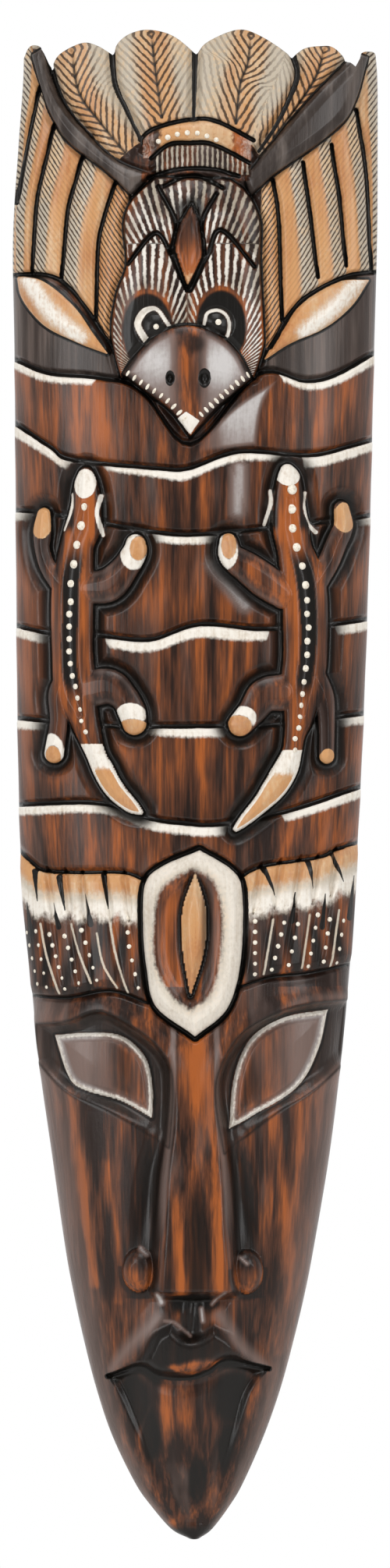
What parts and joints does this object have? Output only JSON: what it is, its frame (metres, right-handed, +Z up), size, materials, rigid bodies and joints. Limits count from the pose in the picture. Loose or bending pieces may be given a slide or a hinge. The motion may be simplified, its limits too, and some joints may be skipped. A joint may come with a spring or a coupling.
{
  "type": "wooden wall mask",
  "caption": "Tall pointed wall mask of carved and painted wood: feather crest, bird, geckos, fringe, jewel and a narrow face in relief, hollow behind.",
  "frame": {"origin": "mouth of the hanging hole, on the flat back near the top", "axes": "+Z up along the mask, -Y out of the carved front, +Y into the wall it hangs on"},
  "size_m": [0.2428, 0.0764, 1.0004],
  "materials": {
    "carved_wood": "dark brown stain with cream and ochre paint, black in the cuts, satin varnish"
  },
  "bodies": {
    "root": {"carved_mask": "carved_wood"}
  },
  "joints": []
}
